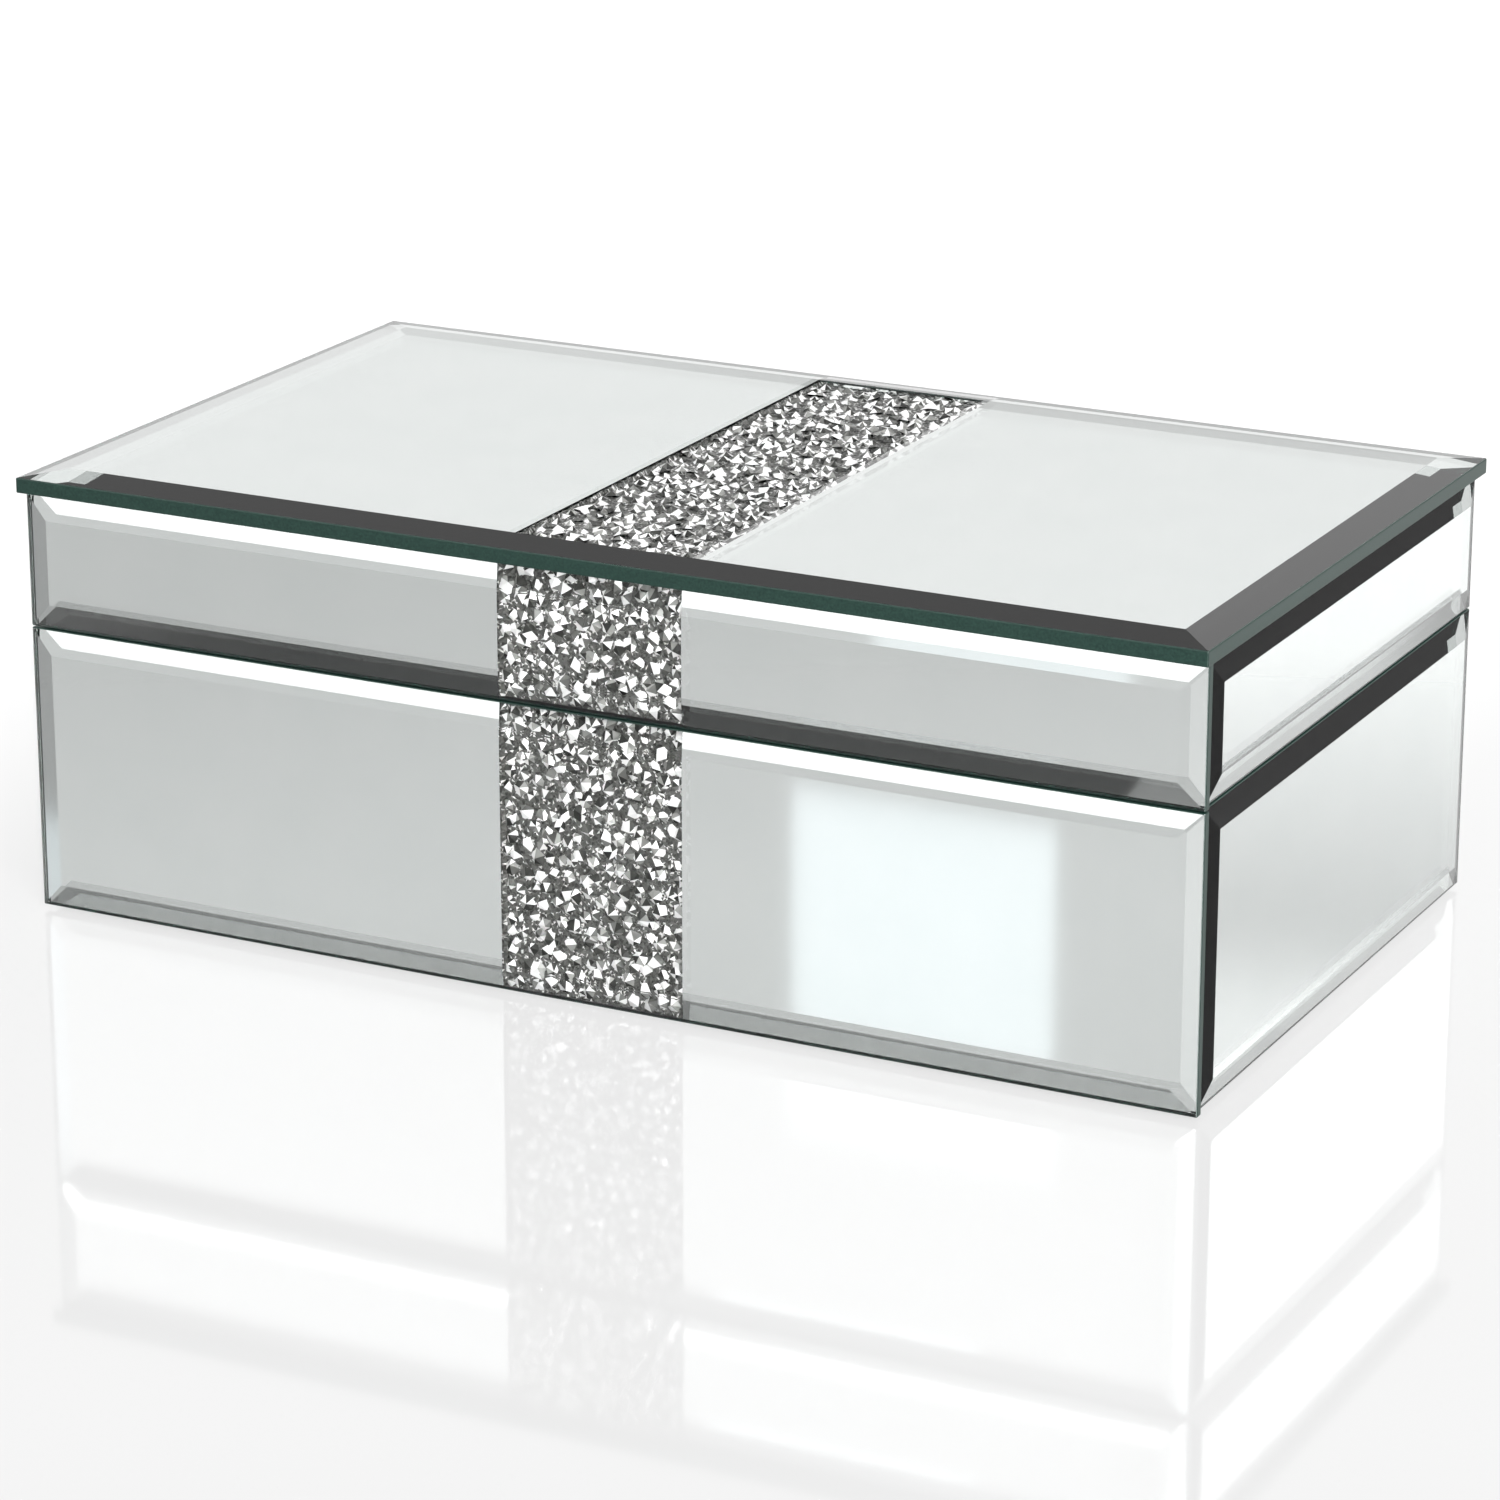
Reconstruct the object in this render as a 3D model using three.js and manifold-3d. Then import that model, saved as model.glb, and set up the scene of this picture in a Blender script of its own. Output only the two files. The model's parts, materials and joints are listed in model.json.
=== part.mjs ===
// Mirrored vanity trinket box: a velvet-lined case of fibreboard walls faced with bevelled mirror
// glass, a hinged lid with a thicker glass top, and a band of crushed crystal behind a clear strip
// in the glass. Millimetres. X runs along the length, Y from front (-) to back (+), Z up; the origin
// is the centre of the underside.
import * as THREE from "three";
import { ConvexGeometry } from "three/addons/geometries/ConvexGeometry.js";
import { mergeVertices } from "three/addons/utils/BufferGeometryUtils.js";
import Module from "manifold-3d";

// ---- Driving dimensions -------------------------------------------------------------------------
const HEIGHT = 90;
const BODY_LENGTH = 246.6; // over the flats of the side glass
const BODY_DEPTH = 140; // over the flats of the front and back glass
const OVERHANG_X = 0.7; // of the top glass past the side glass
const OVERHANG_Y = 1.3; // of the top glass past the front and back glass
const SEAM_Z = 58.6; // middle of the gap between lid and base
const SEAM_GAP = 0.3;

const TOP_GLASS = { thickness: 4, edge: 3, bevel: 7.5 }; // the bevel leaves the edge of the thickness
const PANEL_GLASS = { thickness: 3, edge: 1.9, bevel: 5 };

const GLUE = 0.3; // adhesive line between glued pieces
const WALL = 8; // fibreboard walls and rails
const BOARD = 4; // fibreboard floor and lid board
const FELT = 1;
const FELT_INSET = 1.5; // from the outside of the fibreboard
const LINING = 1.2; // velvet on card
const PAD = 2.6; // velvet on foam, on the floor and under the lid
const RIM_DROP = 0.5; // how far the fibreboard rims stay back from the edges of the glass
const RIM_SHY = 0.2; // how far linings and bumpers stay back from the rims

const BAND = 39.4; // width of the crystal bed, a little more than the clear strip in front of it
const GROOVE = 2; // depth of the groove that holds the crystals
const CRYSTAL_BED = GROOVE - GLUE;
const CRYSTAL_PITCH = 3.8;
const CRYSTAL_RELIEF = 0.9;

const DIVIDER = 4;
const DIVIDER_TOP = 47;
const RING_BAY = 72; // clear length of the ring bay
const RING_ROLLS = 5;

const OPEN_ANGLE = 95; // of the lid, where its hinges stop it
const HINGE_X = 75; // hinges stand this far each side of the middle
const HINGE_Y = BODY_DEPTH / 2 + 0.05; // pin axis, on the back face
const HINGE_LENGTH = 30;
const KNUCKLES = 5;
const KNUCKLE_GAP = 0.15;
const BARREL_R = 1.25;
const PIN_R = 0.62;
const PIN_PLAY = 0.07;
const LEAF = 0.8;
const LEAF_REACH = 10.7; // from the pin axis to the leaf's inner edge
const LEAF_OFFSET = 0.3; // from the pin axis to the near face of each leaf
const STOP_IN_R = 1.45; // inner and outer radius of the stop flanges
const STOP_OUT_R = 1.9;
const STOP_THICK = 0.5;
const STOP_SPARE = 0.6; // degrees left between the flanges at the open angle
const NOTCH = 1.7; // half height of the notches in the back glass

const SCREW_X = 9; // from the hinge's middle
const SCREW_LENGTH = 8.5;
const SCREW_POINT = 2;
const SCREW_R = 0.8;
const SCREW_HEAD_R = 1.7;
const SCREW_HEAD = 0.7;
const SCREW_SLOT = 0.4;
const SCREW_PLAY = 0.15; // round the screw in its hole

const BUMPER_R = 3;
const BUMPER_X = 100;

const ROUND = 20; // segments in a small round piece
const FINE_ROUND = 12; // segments in a screw
const THROUGH = 1; // how far a cutter runs past the piece it cuts

// ---- Levels and faces worked out from them ------------------------------------------------------
const topGlassZ = HEIGHT - TOP_GLASS.thickness;
const lidGlass = [SEAM_Z + SEAM_GAP / 2, topGlassZ - GLUE];
const baseGlass = [FELT, SEAM_Z - SEAM_GAP / 2];
const lidBoard = [topGlassZ - GLUE - BOARD, topGlassZ - GLUE];
const lidRail = [lidGlass[0] + RIM_DROP, lidBoard[0] - GLUE];
const baseWall = [FELT + GLUE, baseGlass[1] - RIM_DROP];
const floorBoard = [FELT + GLUE, FELT + GLUE + BOARD];
const floorPad = [floorBoard[1] + GLUE, floorBoard[1] + GLUE + PAD];
const lidPad = [lidRail[1] - PAD, lidRail[1]];
const lidLining = [lidRail[0] + RIM_SHY, lidPad[0] - GLUE];
const baseLining = [floorPad[1] + GLUE, baseWall[1] - RIM_SHY];
const fittings = [floorPad[1] + GLUE, DIVIDER_TOP];

const caseX = BODY_LENGTH / 2 - PANEL_GLASS.thickness - GLUE; // outside of the fibreboard
const caseY = BODY_DEPTH / 2 - PANEL_GLASS.thickness - GLUE;
const liningX = caseX - WALL - GLUE; // back of the lining
const liningY = caseY - WALL - GLUE;
const clearX = liningX - LINING; // face of the lining
const clearY = liningY - LINING;
const wallMiddleY = caseY - WALL / 2;
const crossDividerX = [-clearX + RING_BAY, -clearX + RING_BAY + DIVIDER];

// ---- Materials ----------------------------------------------------------------------------------
function material(color, roughness, metalness) {
  return new THREE.MeshStandardMaterial({ color, roughness, metalness });
}
const mirror = material(0xd9dedd, 0.03, 1);
const crystal = material(0xb9bdbc, 0.15, 0.8);
const fibreboard = material(0x1d1c1b, 0.5, 0); // sealed with black lacquer
const velvet = material(0x2b2c30, 0.95, 0);
const felt = material(0x1c1c1e, 1, 0);
const nickel = material(0xc9c7c2, 0.25, 1);
const silicone = material(0xe4e8e8, 0.4, 0);

// ---- Solids -------------------------------------------------------------------------------------
const wasm = await Module();
wasm.setup();

// A closed geometry as a solid that can be joined and cut.
function solid(geometry) {
  const bare = geometry.clone();
  bare.deleteAttribute("normal");
  bare.deleteAttribute("uv");
  const merged = mergeVertices(bare, 1e-4);
  const mesh = new wasm.Mesh({
    numProp: 3,
    vertProperties: merged.attributes.position.array,
    triVerts: new Uint32Array(merged.index.array),
  });
  return new wasm.Manifold(mesh);
}

function geometryOf(body) {
  const mesh = body.getMesh();
  const geometry = new THREE.BufferGeometry();
  geometry.setAttribute("position", new THREE.BufferAttribute(mesh.vertProperties.slice(), 3));
  geometry.setIndex(new THREE.BufferAttribute(mesh.triVerts.slice(), 1));
  return geometry;
}

function cut(geometry, cutters) {
  let body = solid(geometry);
  for (const cutter of cutters) body = body.subtract(solid(cutter));
  return geometryOf(body);
}

// A box between two values on each axis.
function block([x0, x1], [y0, y1], [z0, z1]) {
  const box = new THREE.BoxGeometry(Math.abs(x1 - x0), Math.abs(y1 - y0), Math.abs(z1 - z0));
  return box.translate((x0 + x1) / 2, (y0 + y1) / 2, (z0 + z1) / 2);
}

// A round bar on the X axis.
function bar(radius, x0, x1) {
  const cylinder = new THREE.CylinderGeometry(radius, radius, x1 - x0, ROUND);
  return cylinder.rotateZ(Math.PI / 2).translate((x0 + x1) / 2, 0, 0);
}

// A solid of revolution about Z from [radius, z] points that start and end on the axis, from low z to high.
function turned(points, segments) {
  const profile = points.map(([radius, z]) => new THREE.Vector2(radius, z));
  return new THREE.LatheGeometry(profile, segments).rotateX(Math.PI / 2);
}

const box = new THREE.Group();
box.name = "vanity_trinket_box";

function place(name, geometry, finish, parent = box) {
  const mesh = new THREE.Mesh(geometry, finish);
  mesh.name = name;
  parent.add(mesh);
  return mesh;
}

// ---- Glass --------------------------------------------------------------------------------------
// A plate in XY with its back at z = 0 and a bevel all round its face.
function bevelledPlate(length, width, { thickness, edge, bevel }) {
  const corners = [];
  for (const sx of [-0.5, 0.5]) {
    for (const sy of [-0.5, 0.5]) {
      corners.push(new THREE.Vector3(sx * length, sy * width, 0));
      corners.push(new THREE.Vector3(sx * length, sy * width, edge));
      corners.push(new THREE.Vector3(sx * (length - 2 * bevel), sy * (width - 2 * bevel), thickness));
    }
  }
  return new ConvexGeometry(corners);
}

// The back glass is notched at its seam edge to clear the hinges.
function notchedPlate(plate, z) {
  const middle = (z[0] + z[1]) / 2;
  const notchY = [SEAM_Z - NOTCH - middle, SEAM_Z + NOTCH - middle];
  const cutters = [-HINGE_X, HINGE_X].map((x) => {
    const notchX = [x - HINGE_LENGTH / 2 - GLUE, x + HINGE_LENGTH / 2 + GLUE];
    return block(notchX, notchY, [-THROUGH, PANEL_GLASS.thickness + THROUGH]);
  });
  return cut(plate, cutters);
}

// The front glass runs the full length and covers the side glass, which covers the ends of the back
// glass. `along` is how far a panel's middle lies to its own right of the middle of the box.
const sideLength = caseY + BODY_DEPTH / 2;
const sideAlong = (BODY_DEPTH - sideLength) / 2;
const SIDES = {
  front: { turn: 0, length: BODY_LENGTH, distance: BODY_DEPTH / 2, along: 0 },
  right: { turn: Math.PI / 2, length: sideLength, distance: BODY_LENGTH / 2, along: sideAlong },
  back: { turn: Math.PI, length: 2 * caseX, distance: BODY_DEPTH / 2, along: 0 },
  left: { turn: -Math.PI / 2, length: sideLength, distance: BODY_LENGTH / 2, along: -sideAlong },
};

// A glass panel is stood up facing front, moved out to its face and turned to its side of the box.
function placeGlassPanel(part, sideName, z) {
  const { turn, length, distance, along } = SIDES[sideName];
  const plate = bevelledPlate(length, z[1] - z[0], PANEL_GLASS);
  const side = new THREE.Group();
  side.rotation.z = turn;
  box.add(side);
  const geometry = sideName === "back" ? notchedPlate(plate, z) : plate;
  const panel = place(`${part}_${sideName}_glass`, geometry, mirror, side);
  panel.rotation.x = Math.PI / 2;
  panel.position.set(along, PANEL_GLASS.thickness - distance, (z[0] + z[1]) / 2);
}

function placeTopGlass() {
  const plate = bevelledPlate(BODY_LENGTH + 2 * OVERHANG_X, BODY_DEPTH + 2 * OVERHANG_Y, TOP_GLASS);
  place("lid_top_glass", plate, mirror).position.z = topGlassZ;
}

// ---- Fibreboard case ----------------------------------------------------------------------------
const grooveX = [-BAND / 2 - GLUE, BAND / 2 + GLUE];
const frontGroove = block(grooveX, [-caseY - THROUGH, -caseY + GROOVE], [-THROUGH, HEIGHT]);
const topGroove = block(grooveX, [-caseY - THROUGH, caseY + THROUGH], [lidBoard[1] - GROOVE, HEIGHT]);

// Seats for the hinge leaves in the back rim, with screw holes. `up` is -1 in the base and 1 in the
// lid.
function hingeSeats(up) {
  const seatZ = SEAM_Z + up * (LEAF_OFFSET + LEAF + GLUE);
  const seatY = [HINGE_Y - LEAF_REACH - GLUE, BODY_DEPTH];
  const holeR = SCREW_R + SCREW_PLAY;
  const holeEndZ = seatZ + up * (SCREW_LENGTH + GLUE);
  const cutters = [];
  for (const x of [-HINGE_X, HINGE_X]) {
    cutters.push(block([x - HINGE_LENGTH / 2 - GLUE, x + HINGE_LENGTH / 2 + GLUE], seatY, [SEAM_Z, seatZ]));
    for (const screwX of [x - SCREW_X, x + SCREW_X]) {
      const hole = new THREE.CylinderGeometry(holeR, holeR, Math.abs(holeEndZ - SEAM_Z), FINE_ROUND);
      cutters.push(hole.rotateX(Math.PI / 2).translate(screwX, wallMiddleY, (holeEndZ + SEAM_Z) / 2));
    }
  }
  return cutters;
}

function placeWalls(part, wallName, z, up) {
  const acrossY = [caseY - WALL, caseY];
  const front = block([-caseX, caseX], [-acrossY[0], -acrossY[1]], z);
  const back = block([-caseX, caseX], acrossY, z);
  place(`${part}_front_${wallName}`, cut(front, [frontGroove]), fibreboard);
  place(`${part}_back_${wallName}`, cut(back, hingeSeats(up)), fibreboard);
  for (const [sideName, side] of [["left", -1], ["right", 1]]) {
    const wall = block([side * (caseX - WALL), side * caseX], [-liningY, liningY], z);
    place(`${part}_${sideName}_${wallName}`, wall, fibreboard);
  }
}

function placeBoards() {
  place("base_floor_board", block([-liningX, liningX], [-liningY, liningY], floorBoard), fibreboard);
  const board = block([-caseX, caseX], [-caseY, caseY], lidBoard);
  place("lid_board", cut(board, [frontGroove, topGroove]), fibreboard);
  const feltX = caseX - FELT_INSET;
  const feltY = caseY - FELT_INSET;
  place("base_felt", block([-feltX, feltX], [-feltY, feltY], [0, FELT]), felt);
}

// ---- Lining and inside fittings -----------------------------------------------------------------
function placeLining(part, z) {
  for (const [sideName, side] of [["front", -1], ["back", 1]]) {
    const sheet = block([-liningX, liningX], [side * clearY, side * liningY], z);
    place(`${part}_${sideName}_lining`, sheet, velvet);
  }
  for (const [sideName, side] of [["left", -1], ["right", 1]]) {
    const sheet = block([side * clearX, side * liningX], [-clearY + GLUE, clearY - GLUE], z);
    place(`${part}_${sideName}_lining`, sheet, velvet);
  }
}

function placePads() {
  place("base_floor_pad", block([-liningX, liningX], [-liningY, liningY], floorPad), velvet);
  place("lid_pad", block([-liningX, liningX], [-liningY, liningY], lidPad), velvet);
}

function placeDividers() {
  const longX = [crossDividerX[1] + GLUE, clearX - GLUE];
  place("cross_divider", block(crossDividerX, [-clearY + GLUE, clearY - GLUE], fittings), velvet);
  place("long_divider", block(longX, [-DIVIDER / 2, DIVIDER / 2], fittings), velvet);
}

// A ring roll is a foam bar with a flat underside and a round back. Rings are pushed down between
// two of them.
function placeRingRolls() {
  const pitch = (2 * clearY - GLUE) / RING_ROLLS;
  const radius = pitch / 2 - GLUE;
  const undercut = 0.55; // radians that the arc runs on below its widest point
  const outline = new THREE.Shape();
  outline.absarc(0, radius, radius, -undercut, Math.PI + undercut, false);
  outline.lineTo(-radius * Math.cos(undercut), 0);
  outline.lineTo(radius * Math.cos(undercut), 0);
  outline.closePath();
  const options = { depth: RING_BAY - 2 * GLUE, bevelEnabled: false, curveSegments: 16 };
  for (let i = 0; i < RING_ROLLS; i++) {
    const geometry = new THREE.ExtrudeGeometry(outline, options);
    geometry.rotateX(Math.PI / 2).rotateZ(Math.PI / 2);
    const y = (i - (RING_ROLLS - 1) / 2) * pitch;
    place(`ring_roll_${i + 1}`, geometry, velvet).position.set(-clearX + GLUE, y, fittings[0]);
  }
}

// ---- Crystal beds: thin slabs whose faces are fields of low pyramids ----------------------------
function crystalBed(length, width) {
  const columns = Math.round(length / CRYSTAL_PITCH);
  const rows = Math.round(width / CRYSTAL_PITCH);
  const valley = CRYSTAL_BED - CRYSTAL_RELIEF;
  const positions = [];
  const faces = [];

  // Adds the vertex at grid place i, j and returns its number.
  function vertex(i, j, z) {
    positions.push((i / columns - 0.5) * length, (j / rows - 0.5) * width, z);
    return positions.length / 3 - 1;
  }

  const corners = [];
  for (let i = 0; i <= columns; i++) {
    corners.push([]);
    for (let j = 0; j <= rows; j++) corners[i].push(vertex(i, j, valley));
  }
  for (let i = 0; i < columns; i++) {
    for (let j = 0; j < rows; j++) {
      const peak = vertex(i + 0.5, j + 0.5, CRYSTAL_BED);
      const square = [corners[i][j], corners[i + 1][j], corners[i + 1][j + 1], corners[i][j + 1]];
      square.forEach((corner, k) => faces.push(corner, square[(k + 1) % 4], peak));
    }
  }

  // The rim of the grid, counter-clockwise, is carried down to the back and closed there.
  const rim = [];
  for (let i = 0; i < columns; i++) rim.push([i, 0]);
  for (let j = 0; j < rows; j++) rim.push([columns, j]);
  for (let i = columns; i > 0; i--) rim.push([i, rows]);
  for (let j = rows; j > 0; j--) rim.push([0, j]);
  const foot = rim.map(([i, j]) => vertex(i, j, 0));
  const middle = vertex(columns / 2, rows / 2, 0);
  rim.forEach(([i, j], k) => {
    const next = (k + 1) % rim.length;
    const [nextI, nextJ] = rim[next];
    faces.push(foot[k], foot[next], corners[nextI][nextJ]);
    faces.push(foot[k], corners[nextI][nextJ], corners[i][j]);
    faces.push(middle, foot[next], foot[k]);
  });

  const geometry = new THREE.BufferGeometry();
  geometry.setAttribute("position", new THREE.Float32BufferAttribute(positions, 3));
  geometry.setIndex(faces);
  return geometry;
}

function placeTopCrystals() {
  const bed = crystalBed(BAND, 2 * caseY - GROOVE);
  place("lid_top_crystals", bed, crystal).position.set(0, GROOVE / 2, lidBoard[1] - CRYSTAL_BED);
}

function placeFrontCrystals(part, z) {
  const bed = place(`${part}_front_crystals`, crystalBed(BAND, z[1] - z[0]), crystal);
  bed.rotation.x = Math.PI / 2;
  bed.position.set(0, CRYSTAL_BED - caseY, (z[0] + z[1]) / 2);
}

// ---- Hinges: built round a pin on the X axis, then set on the seam ------------------------------
// A stop flange stands out from the barrel. The two flanges meet when the lid has opened.
const flangeHalfAngle = THREE.MathUtils.radToDeg(Math.atan(STOP_THICK / 2 / STOP_IN_R));
const flangeAngle = THREE.MathUtils.degToRad((OPEN_ANGLE + STOP_SPARE) / 2 + flangeHalfAngle);

function flange(x, innerR, up) {
  return block(x, [innerR, STOP_OUT_R], [-STOP_THICK / 2, STOP_THICK / 2]).rotateX(up * flangeAngle);
}

// The screw hole in a leaf: a cone for the head, then a clear hole. Its mouth is at z = 0 and it runs up.
function screwHole() {
  const headR = SCREW_HEAD_R + SCREW_PLAY;
  const holeR = SCREW_R + SCREW_PLAY;
  const end = LEAF + THROUGH;
  const mouth = [[0, -THROUGH], [headR, -THROUGH], [headR, 0]];
  return turned([...mouth, [holeR, SCREW_HEAD], [holeR, end], [0, end]], ROUND);
}

// A leaf with its knuckles, stop flange and screw holes. `up` is -1 for the base leaf and 1 for the
// lid leaf.
function hingeLeaf(up) {
  const half = HINGE_LENGTH / 2;
  const knuckle = HINGE_LENGTH / KNUCKLES;
  let leaf = solid(block([-half, half], [-LEAF_REACH, 0], [up * LEAF_OFFSET, up * (LEAF_OFFSET + LEAF)]));
  leaf = leaf.add(solid(flange([-half, half], STOP_IN_R, up)));
  for (let k = 0; k < KNUCKLES; k++) {
    const start = k * knuckle - half;
    const ownKnuckle = k % 2 === (up < 0 ? 0 : 1);
    if (ownKnuckle) {
      const x = [Math.max(start + KNUCKLE_GAP, -half), Math.min(start + knuckle - KNUCKLE_GAP, half)];
      leaf = leaf.add(solid(bar(BARREL_R, ...x)));
      leaf = leaf.add(solid(flange(x, PIN_R + 2 * PIN_PLAY, up)));
    } else {
      const room = bar(BARREL_R + KNUCKLE_GAP, start - KNUCKLE_GAP, start + knuckle + KNUCKLE_GAP);
      leaf = leaf.subtract(solid(room));
    }
  }
  leaf = leaf.subtract(solid(bar(PIN_R + PIN_PLAY, -HINGE_LENGTH, HINGE_LENGTH)));
  for (const x of [-SCREW_X, SCREW_X]) {
    const hole = screwHole();
    if (up < 0) hole.rotateX(Math.PI);
    hole.translate(x, wallMiddleY - HINGE_Y, up * LEAF_OFFSET);
    leaf = leaf.subtract(solid(hole));
  }
  return geometryOf(leaf);
}

// A countersunk wood screw with a slotted head: the head is at z = 0 and the point is up.
function screw() {
  const shank = SCREW_LENGTH - SCREW_POINT;
  const head = [[0, 0], [SCREW_HEAD_R, 0], [SCREW_R, SCREW_HEAD]];
  const body = turned([...head, [SCREW_R, shank], [0, SCREW_LENGTH]], FINE_ROUND);
  const slotX = SCREW_HEAD_R + THROUGH;
  const slot = block([-slotX, slotX], [-SCREW_SLOT / 2, SCREW_SLOT / 2], [-THROUGH, SCREW_SLOT]);
  return cut(body, [slot]);
}

function placeHinge(name, x) {
  const hinge = new THREE.Group();
  hinge.position.set(x, HINGE_Y, SEAM_Z);
  box.add(hinge);
  place(`${name}_pin`, bar(PIN_R, -HINGE_LENGTH / 2, HINGE_LENGTH / 2), nickel, hinge);
  for (const [part, up] of [["base", -1], ["lid", 1]]) {
    place(`${name}_${part}_leaf`, hingeLeaf(up), nickel, hinge);
    for (const [number, screwX] of [[1, -SCREW_X], [2, SCREW_X]]) {
      const fixing = place(`${name}_${part}_screw_${number}`, screw(), nickel, hinge);
      fixing.position.set(screwX, wallMiddleY - HINGE_Y, up * LEAF_OFFSET);
      if (up < 0) fixing.rotation.x = Math.PI;
    }
  }
}

// ---- Soft stops between lid and base, on the front rim ------------------------------------------
function placeBumper(name, x) {
  const z = [baseWall[1] + RIM_SHY, lidRail[0] - RIM_SHY];
  const height = z[1] - z[0];
  const dome = [[0, 0], [BUMPER_R, 0], [BUMPER_R, 0.4 * height], [0.8 * BUMPER_R, 0.8 * height]];
  const geometry = turned([...dome, [0.4 * BUMPER_R, height], [0, height]], ROUND);
  place(name, geometry, silicone).position.set(x, -wallMiddleY, z[0]);
}

// ---- The box ------------------------------------------------------------------------------------
for (const sideName of Object.keys(SIDES)) {
  placeGlassPanel("base", sideName, baseGlass);
  placeGlassPanel("lid", sideName, lidGlass);
}
placeTopGlass();
placeWalls("base", "wall", baseWall, -1);
placeWalls("lid", "rail", lidRail, 1);
placeBoards();
placeLining("base", baseLining);
placeLining("lid", lidLining);
placePads();
placeDividers();
placeRingRolls();
placeTopCrystals();
placeFrontCrystals("base", baseWall);
placeFrontCrystals("lid", [lidRail[0], lidBoard[1]]);
placeHinge("left_hinge", -HINGE_X);
placeHinge("right_hinge", HINGE_X);
placeBumper("left_rim_bumper", -BUMPER_X);
placeBumper("right_rim_bumper", BUMPER_X);

export default box;
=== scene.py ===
"""Mirrored vanity trinket box: bevelled silvered glass over a lacquered case, with a band of crushed
crystal and a velvet inside. Metres, in the frame's own axes: X along the length, front at -Y, Z up."""
import json
import math
import random

import bmesh
import bpy
from mathutils import Matrix, Vector, noise


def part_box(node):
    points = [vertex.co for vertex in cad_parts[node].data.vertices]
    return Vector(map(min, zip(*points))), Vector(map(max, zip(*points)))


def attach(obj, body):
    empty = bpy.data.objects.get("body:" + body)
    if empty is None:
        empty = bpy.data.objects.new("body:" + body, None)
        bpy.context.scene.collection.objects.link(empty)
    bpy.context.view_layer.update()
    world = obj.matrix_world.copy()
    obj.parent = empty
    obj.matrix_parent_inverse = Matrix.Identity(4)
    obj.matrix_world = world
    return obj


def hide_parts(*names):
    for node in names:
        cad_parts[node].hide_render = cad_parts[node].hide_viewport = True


MM = 0.001

# Camera, as seen from the front right and a little above.
AIM = Vector((-0.0053, 0.0078, 0.0282))
AZIMUTH = math.radians(27.0)
ELEVATION = math.radians(18.37)
DISTANCE = 1.065
LENS = 128.2

# Glass
ARRIS = 0.22 * MM  # the fine chamfer that takes the sharpness off every glass edge
BAND = 38.6 * MM  # width of the clear strip, a little less than the crystal bed behind it
MITRE = math.radians(40)  # bevels meet at less than this, and everything sharper gets an arris
FLAT = math.cos(math.radians(3))  # a flat face leans by less than this, and a bevel by more

# Crystals
DUST_PITCH = 0.5 * MM
DUST_BANK = 0.75 * MM  # how far the dust is banked up along the band's two long sides
DUST_DEPTH = 1.1 * MM  # how far the dust lies behind the front of its bed
STONE_PITCH = 3.1 * MM
STONE_RADII = (1.3, 2.1)  # millimetres
STONE_DEPTHS = (0.02, 0.4)  # how far behind the front of the bed a stone's highest point is, millimetres
SEED = 7

# Studio light: strengths of the surroundings and of the floor, then lamps in watts
WORLD_LIGHT = 3.4
FLOOR_GREY = (0.14, 0.45)  # nearly everywhere, and behind the box on its left
FLOOR_GLOW = (1.17, 1.42)  # in front of the box, and behind it
FLOOR_GLOW_PLACES = (-0.1, 0.7)  # where along Y, in metres, the floor has those
FLOOR_GLOW_SHARE = 0.6
OVERHEAD_LIGHT = 10
KEY_LIGHT = 2.4
FILL_LIGHT = 170
WINDOW_LIGHT = 0.14

# Soft goods
PILE = 0.15 * MM  # how far velvet stays clear of what it meets
CLOTH_SCALE = 10  # cloth is simulated at this many times its size, where the solver is at its best
CLOTH_FRAMES = 20

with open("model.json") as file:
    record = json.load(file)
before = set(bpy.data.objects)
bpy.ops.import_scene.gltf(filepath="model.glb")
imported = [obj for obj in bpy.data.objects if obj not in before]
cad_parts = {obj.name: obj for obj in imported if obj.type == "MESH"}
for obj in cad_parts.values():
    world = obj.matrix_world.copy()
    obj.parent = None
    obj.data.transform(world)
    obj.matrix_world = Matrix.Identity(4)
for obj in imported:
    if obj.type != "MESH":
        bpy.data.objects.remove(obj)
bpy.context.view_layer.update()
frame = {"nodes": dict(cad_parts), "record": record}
nodes = frame["nodes"]
scene = bpy.context.scene

OUTWARD = {
    "front": Vector((0, -1, 0)),
    "back": Vector((0, 1, 0)),
    "left": Vector((-1, 0, 0)),
    "right": Vector((1, 0, 0)),
    "top": Vector((0, 0, 1)),
}


# ---- Node helpers ---------------------------------------------------------------------------------
def new_material(name):
    """An empty node material: its tree and its Principled shader."""
    material = bpy.data.materials.new(name)
    material.use_nodes = True
    return material, material.node_tree, material.node_tree.nodes["Principled BSDF"]


def set_inputs(node, **values):
    for name, value in values.items():
        node.inputs[name.replace("_", " ")].default_value = value


def add_node(tree, kind, **values):
    node = tree.nodes.new(kind)
    set_inputs(node, **values)
    return node


def object_coordinates(tree):
    return tree.nodes.new("ShaderNodeTexCoord").outputs["Object"]


def noise_of(tree, scale, detail=3.0, roughness=0.55):
    texture = add_node(tree, "ShaderNodeTexNoise", Scale=scale, Detail=detail, Roughness=roughness)
    tree.links.new(object_coordinates(tree), texture.inputs["Vector"])
    return texture.outputs["Fac"]


def ramp(tree, factor, stops):
    """A colour ramp of (place, colour) stops."""
    node = tree.nodes.new("ShaderNodeValToRGB")
    elements = node.color_ramp.elements
    while len(elements) < len(stops):
        elements.new(0.5)
    while len(elements) > len(stops):
        elements.remove(elements[-1])
    for element, (place, colour) in zip(elements, stops):
        element.position = place
        element.color = (*colour, 1)
    tree.links.new(factor, node.inputs["Fac"])
    return node.outputs["Color"]


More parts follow.
